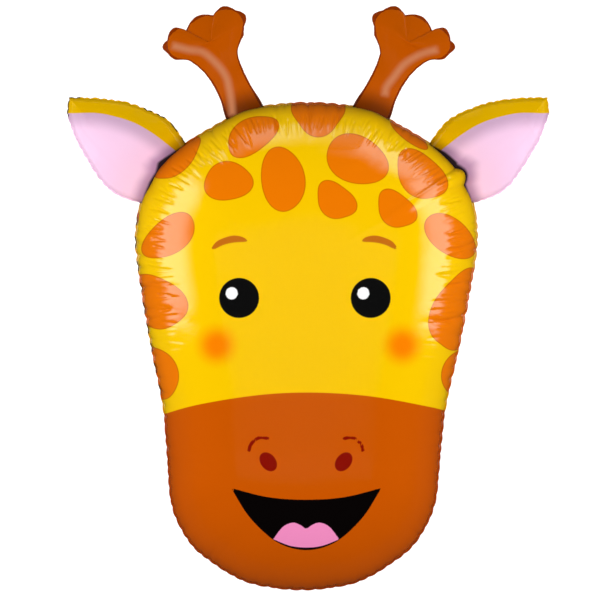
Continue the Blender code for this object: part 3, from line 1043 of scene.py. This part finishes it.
# %% Inks, and painted shade and highlight
# hem, root and fold are painted shade, shade is a painted shade band on the ears, and stroke is a painted
# highlight on the horns
INK = {
    "coat": (1.0, 0.60, 0.0), "patches": (0.90, 0.20, 0.0), "muzzle": (0.62, 0.096, 0.0),
    "brows": (0.58, 0.145, 0.003), "eyes": (0.004, 0.004, 0.004), "glints": (1, 1, 1),
    "cheeks": (1.0, 0.23, 0.0), "nostrils": (0.25, 0.003, 0.0), "mouth": (0.002, 0.001, 0.001),
    "tongue": (1.0, 0.30, 0.60), "hem": (0.02, 0.012, 0.0), "pink": (0.97, 0.63, 0.86),
    "shade": (0.66, 0.42, 0.60), "horn": (0.50, 0.085, 0.0), "root": (0.15, 0.025, 0.0),
    "patch_edge": (0.66, 0.16, 0.0), "stroke": (0.58, 0.23, 0.11), "ear": (0.76, 0.43, 0.0),
    "fold": (0.004, 0.002, 0.002),
}
# Painted shade: factors that darken an ink where little light gets in
SHADE = {
    "rim": (0.66, 0.52, 0.5), "crown": (0.74, 0.70, 0.70), "ear_root": (0.48, 0.42, 0.52),
    "horn_rim": (0.50, 0.34, 0.4),
}
FILM_METALLIC = 0.03
FILM_ROUGHNESS = 0.50
FILM_SPECULAR = 0.0
COAT_ROUGHNESS = 0.08
EAR_GLOSS = 0.15
EAR_COAT_ROUGHNESS = 0.15
HORN_GLOSS = 0.10
HORN_COAT_ROUGHNESS = 0.20
EDGE_BLUR = 0.0006


def foil_material(name, colour, gloss=1.0, blur=COAT_ROUGHNESS):
    """Printed film in one ink, ready for more inks over it."""
    material = bpy.data.materials.new(name)
    material.use_nodes = True
    shader = material.node_tree.nodes["Principled BSDF"]
    shader.inputs["Base Color"].default_value = (*colour, 1)
    shader.inputs["Metallic"].default_value = FILM_METALLIC
    shader.inputs["Roughness"].default_value = FILM_ROUGHNESS
    shader.inputs["Specular IOR Level"].default_value = FILM_SPECULAR
    shader.inputs["Coat Weight"].default_value = gloss
    shader.inputs["Coat Roughness"].default_value = blur
    return material, shader


# %% Print one ink over the ones before
def overprint(tree, below, field, ink, low_edge=-EDGE_BLUR, high_edge=EDGE_BLUR, strength=1.0):
    """Mix an ink over the colour below where the field passes from its low edge to its high one."""
    place = tree.nodes.new("ShaderNodeAttribute")
    place.attribute_name = field
    edge = tree.nodes.new("ShaderNodeMapRange")
    edge.interpolation_type = "SMOOTHSTEP"
    edge.inputs["From Min"].default_value = low_edge
    edge.inputs["From Max"].default_value = high_edge
    edge.inputs["To Max"].default_value = strength
    tree.links.new(place.outputs["Fac"], edge.inputs["Value"])
    mix = tree.nodes.new("ShaderNodeMix")
    mix.data_type = "RGBA"
    if isinstance(below, tuple):
        mix.inputs["A"].default_value = (*below, 1)
    else:
        tree.links.new(below, mix.inputs["A"])
    mix.inputs["B"].default_value = (*ink, 1)
    tree.links.new(edge.outputs["Result"], mix.inputs["Factor"])
    return mix.outputs["Result"]


# %% Paint shade over an ink where the field falls
def painted_shade(tree, below, field, factor, none_at, full_at):
    """Painted shade: multiply the colour below by a factor that comes in from one value of the field to
    another.
    """
    tint = overprint(tree, (1.0, 1.0, 1.0), field, factor, none_at, full_at)
    mix = tree.nodes.new("ShaderNodeMix")
    mix.data_type = "RGBA"
    mix.blend_type = "MULTIPLY"
    mix.inputs["Factor"].default_value = 1.0
    tree.links.new(below, mix.inputs["A"])
    tree.links.new(tint, mix.inputs["B"])
    return mix.outputs["Result"]


# %% Small unevenness of the film
def add_crinkle(tree, shader, fine_height, broad_height):
    """Fine crinkle and a broad slow wave in the film's surface, too small to model."""
    where = tree.nodes.new("ShaderNodeTexCoord")
    normal = None
    for scale, height, detail in ((26.0, broad_height, 1.0), (170.0, fine_height, 2.0)):
        noise = tree.nodes.new("ShaderNodeTexNoise")
        noise.inputs["Scale"].default_value = scale
        noise.inputs["Detail"].default_value = detail
        tree.links.new(where.outputs["Object"], noise.inputs["Vector"])
        bump = tree.nodes.new("ShaderNodeBump")
        bump.inputs["Strength"].default_value = 1.0
        bump.inputs["Distance"].default_value = height
        tree.links.new(noise.outputs["Fac"], bump.inputs["Height"])
        if normal is not None:
            tree.links.new(normal, bump.inputs["Normal"])
        normal = bump.outputs["Normal"]
    tree.links.new(normal, shader.inputs["Normal"])
    tree.links.new(normal, shader.inputs["Coat Normal"])


# %% The head's print, with painted shade
head_ink, head_shader = foil_material("printed head foil", INK["coat"])
tree = head_ink.node_tree
colour = overprint(tree, INK["coat"], "cheeks", INK["cheeks"], 0.0, 0.030)
colour = overprint(tree, colour, "patches", INK["patch_edge"])
colour = overprint(tree, colour, "patches", INK["patches"], 0.0006, 0.0020)
for field in ("muzzle", "brows", "eyes", "glints", "nostrils", "mouth", "tongue"):
    colour = overprint(tree, colour, field, INK[field])
# Painted shade on the dark hem
colour = overprint(tree, colour, "hem", INK["hem"], 0.2, 0.6, 0.9)
# Painted shade: darker along the weld and at the crown's rim
colour = painted_shade(tree, colour, "rim", SHADE["rim"], 0.0030, -0.0004)
colour = painted_shade(tree, colour, "crown", SHADE["crown"], 0.0, 1.0)
tree.links.new(colour, head_shader.inputs["Base Color"])
add_crinkle(tree, head_shader, 0.00006, 0.0006)
head.data.materials.append(head_ink)

# %% The ears' print, with painted shade
ear_ink, ear_shader = foil_material("printed ear foil", INK["coat"], EAR_GLOSS, EAR_COAT_ROUGHNESS)
tree = ear_ink.node_tree
colour = overprint(tree, INK["ear"], "pink", INK["shade"])
colour = overprint(tree, colour, "pink", INK["pink"], 0.003, 0.026)
# Painted shade in the fold at the ear's root, darkest at the head's outline
colour = painted_shade(tree, colour, "crease", SHADE["ear_root"], -0.022, -0.002)
colour = overprint(tree, colour, "crease", INK["fold"], -0.003, 0.0015, 0.97)
# Painted shade on the ear's dark hem
colour = overprint(tree, colour, "hem", INK["hem"], 0.2, 0.6, 0.9)
tree.links.new(colour, ear_shader.inputs["Base Color"])
add_crinkle(tree, ear_shader, 0.00006, 0.0004)
for ear in ears:
    ear.data.materials.append(ear_ink)

# %% The horns' ink, with painted shade and a painted highlight
horn_ink, horn_shader = foil_material("printed horn foil", INK["horn"], HORN_GLOSS, HORN_COAT_ROUGHNESS)
tree = horn_ink.node_tree
# Painted shade: the horn is darkest at its root by the head, fading to its own brown
colour = overprint(tree, INK["root"], "fold", INK["horn"], 0.0, 0.034)
# Painted highlight: a paler stroke up the horn's outer side
colour = overprint(tree, colour, "stroke", INK["stroke"], -0.006, 0.0035, 0.8)
# Painted shade along the horn's rim
colour = painted_shade(tree, colour, "rim", SHADE["horn_rim"], 0.0030, -0.0004)
tree.links.new(colour, horn_shader.inputs["Base Color"])
add_crinkle(tree, horn_shader, 0.00006, 0.0004)
for horn in horns:
    horn.data.materials.append(horn_ink)

# %% [markdown]
# ## Hold the pieces to the frame
# All lobes are one envelope, so each rides on the root and stands for the same solid. The head's
# gloss doesn't show the ears and horns, whose pink and brown would tint the bands on its flank.

# %% Ride and replace
for piece in (head, *ears, *horns):
    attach(piece, "root")
    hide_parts(ENVELOPE)
for limb in (*ears, *horns):
    limb.visible_glossy = False

# %% [markdown]
# ## Studio
# Foil is photographed with two kinds of light. Polarised lamps colour the ink and make no glare: in
# Blender, area lights that glossy rays don't see. Cool softboxes do the opposite. They stand low to
# the left, to the right and beyond the crown, don't light the ink, and show in the gloss as pale
# bands a little inside the rim. Each is a glowing plane that only glossy rays see, brightest low
# down and fading towards its edges, as a real softbox does.

# %% Floor
FLOOR_SIZE = 240.0
FLOOR_GLOW = 0.95
FLOOR_GAP = 0.0004


def staged_plane(name, corners, material):
    """A rectangle of the studio, which isn't part of the balloon."""
    mesh = bpy.data.meshes.new(name)
    mesh.from_pydata([tuple(map(float, corner)) for corner in corners], [], [(0, 1, 2, 3)])
    mesh.materials.append(material)
    plane = bpy.data.objects.new(name, mesh)
    bpy.context.scene.collection.objects.link(plane)
    return plane


paper = bpy.data.materials.new("white studio paper")
paper.use_nodes = True
paper_shader = paper.node_tree.nodes["Principled BSDF"]
paper_shader.inputs["Base Color"].default_value = (0.35, 0.35, 0.35, 1)
paper_shader.inputs["Roughness"].default_value = 1.0
paper_shader.inputs["Emission Color"].default_value = (1, 1, 1, 1)
paper_shader.inputs["Emission Strength"].default_value = FLOOR_GLOW
ways = ((-1, -1), (1, -1), (1, 1), (-1, 1))
corners = [(x * FLOOR_SIZE / 2, y * FLOOR_SIZE / 2, low[2] - FLOOR_GAP) for x, y in ways]
floor = staged_plane("studio_floor", corners, paper)
floor.visible_glossy = False

# %% Polarised lamps
# Name, place, turn about Y in degrees, length and width, and power in watts
LAMPS = [
    ("overhead_lamp", (0.0, 0.0, 4.0), 0, 5.0, 1.6, 171.0),
    ("left_lamp", (-1.7, 0.12, 0.55), -78, 0.8, 0.8, 7.0),
    ("right_lamp", (1.7, 0.16, 0.55), 78, 0.8, 0.8, 7.0),
]
for name, place, turn_degrees, length, width, power in LAMPS:
    lamp_data = bpy.data.lights.new(name, "AREA")
    lamp_data.shape = "RECTANGLE"
    lamp_data.size = length
    lamp_data.size_y = width
    lamp_data.energy = power
    lamp = bpy.data.objects.new(name, lamp_data)
    bpy.context.scene.collection.objects.link(lamp)
    lamp.location = place
    lamp.rotation_euler = (0, math.radians(turn_degrees), 0)
    lamp.visible_camera = False
    lamp.visible_glossy = False

# %% Softboxes
# Name, corner of its lower edge, other corner of it, height, brightness, and how much of its
# length fades out at the first corner and at the other one
SOFTBOXES = [
    ("left_softbox", (-1.0, 1.25, 0.16), (-1.0, -0.21, -0.04), 1.0, 4.6, 0.30, 0.04),
    ("right_softbox", (1.0, -0.25, 0.05), (1.0, 1.30, 0.27), 0.90, 4.6, 0.05, 0.25),
    ("crown_softbox", (0.50, 1.2, -0.05), (-0.75, 1.2, -0.05), 0.80, 2.4, 0.60, 0.20),
    ("crown_right_softbox", (1.20, 1.2, -0.05), (0.0, 1.2, -0.05), 1.10, 3.6, 0.10, 0.50),
]
SOFTBOX_TINT = (0.62, 0.90, 0.90)
SOFT_FOOT_SHARE = 0.25
SOFT_TOP_SHARE = 0.45


def glow_material(name, brightness, first_share, last_share):
    """A glow that fades out towards the sides of its plane, quickly at the foot, slowly at the top."""
    material = bpy.data.materials.new(name)
    material.use_nodes = True
    tree = material.node_tree
    tree.nodes.clear()
    place = tree.nodes.new("ShaderNodeUVMap")
    parts = tree.nodes.new("ShaderNodeSeparateXYZ")
    tree.links.new(place.outputs["UV"], parts.inputs["Vector"])
    strength = None
    for axis, start, full in (("X", 0.0, first_share), ("X", 1.0, 1.0 - last_share),
                              ("Y", 0.0, SOFT_FOOT_SHARE), ("Y", 1.0, 1.0 - SOFT_TOP_SHARE)):
        fade = tree.nodes.new("ShaderNodeMapRange")
        fade.interpolation_type = "SMOOTHSTEP"
        fade.inputs["From Min"].default_value = start
        fade.inputs["From Max"].default_value = full
        tree.links.new(parts.outputs[axis], fade.inputs["Value"])
        if strength is None:
            fade.inputs["To Max"].default_value = brightness
            strength = fade.outputs["Result"]
            continue
        product = tree.nodes.new("ShaderNodeMath")
        product.operation = "MULTIPLY"
        tree.links.new(strength, product.inputs[0])
        tree.links.new(fade.outputs["Result"], product.inputs[1])
        strength = product.outputs[0]
    glow = tree.nodes.new("ShaderNodeEmission")
    glow.inputs["Color"].default_value = (*SOFTBOX_TINT, 1)
    tree.links.new(strength, glow.inputs["Strength"])
    output = tree.nodes.new("ShaderNodeOutputMaterial")
    tree.links.new(glow.outputs["Emission"], output.inputs["Surface"])
    return material


for name, start, end, height, *light in SOFTBOXES:
    start, end = np.array(start), np.array(end)
    up = np.array([0, 0, height])
    softbox = staged_plane(name, [start, end, end + up, start + up], glow_material(name, *light))
    spread = softbox.data.uv_layers.new(name="spread")
    for corner, place in zip(spread.data, ((0, 0), (1, 0), (1, 1), (0, 1))):
        corner.uv = place
    softbox.visible_camera = False
    softbox.visible_diffuse = False
    softbox.visible_shadow = False
    softbox.visible_transmission = False
print("The studio has", len(LAMPS), "lamps and", len(SOFTBOXES), "softboxes")

# %% The dark room round them
ROOM_GREY = 0.012
room = bpy.data.worlds.new("studio_room")
bpy.context.scene.world = room
room.use_nodes = True
room.node_tree.nodes["Background"].inputs["Color"].default_value = (1, 1, 1, 1)
room.node_tree.nodes["Background"].inputs["Strength"].default_value = ROOM_GREY

# %% [markdown]
# ## Camera
# The photo looks straight at the face. Here the balloon lies on its back, so the camera looks
# straight down on it from high up through a long lens.

# %% Camera
PICTURE_WIDTH = 0.8243
PICTURE_MIDDLE = (-0.01099, -0.00227)
camera_data = bpy.data.cameras.new("camera")
camera_data.sensor_width = 36.0
camera_data.lens = camera_data.sensor_width * VIEW_HEIGHT / PICTURE_WIDTH
camera_data.clip_end = 2 * VIEW_HEIGHT
camera = bpy.data.objects.new("camera", camera_data)
bpy.context.scene.collection.objects.link(camera)
camera.location = (*PICTURE_MIDDLE, SEAM_HEIGHT + VIEW_HEIGHT)
bpy.context.scene.camera = camera
bpy.context.scene.view_settings.view_transform = "Standard"
